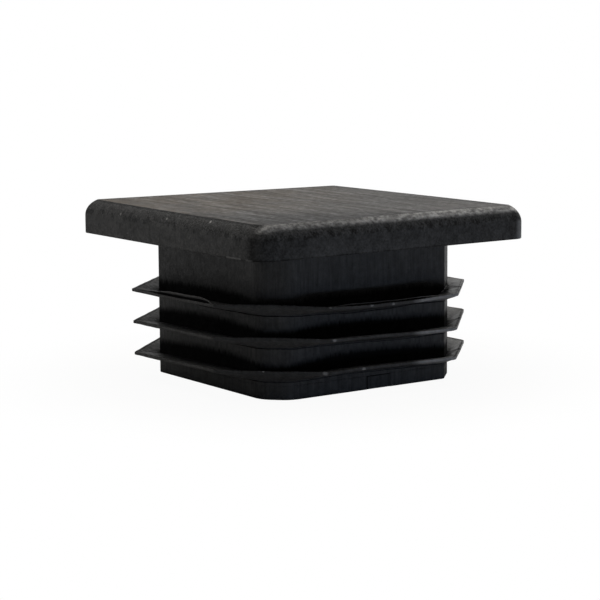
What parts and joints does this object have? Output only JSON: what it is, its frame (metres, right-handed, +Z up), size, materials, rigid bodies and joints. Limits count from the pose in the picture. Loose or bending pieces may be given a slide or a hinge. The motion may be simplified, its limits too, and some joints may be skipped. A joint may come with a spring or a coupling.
{
  "type": "tube end cap",
  "caption": "Square ribbed plug that closes the end of a square tube: a flat rounded head over a hollow plug with thin flared fins.",
  "frame": {"origin": "centre of the head's underside, in the plane where the head seats on the end of the tube", "axes": "+Z up through the head along the tube's axis, away from the tube; +X and +Y square to the cap's sides, with the small mould-insert recess on the plug's +X side"},
  "size_m": [0.05, 0.05, 0.0272],
  "materials": {
    "black_plastic": "moulded black polyethylene: fine spark-eroded grain on the head, faint upright draw marks on the plug"
  },
  "bodies": {
    "root": {"end_cap": "black_plastic"}
  },
  "joints": []
}
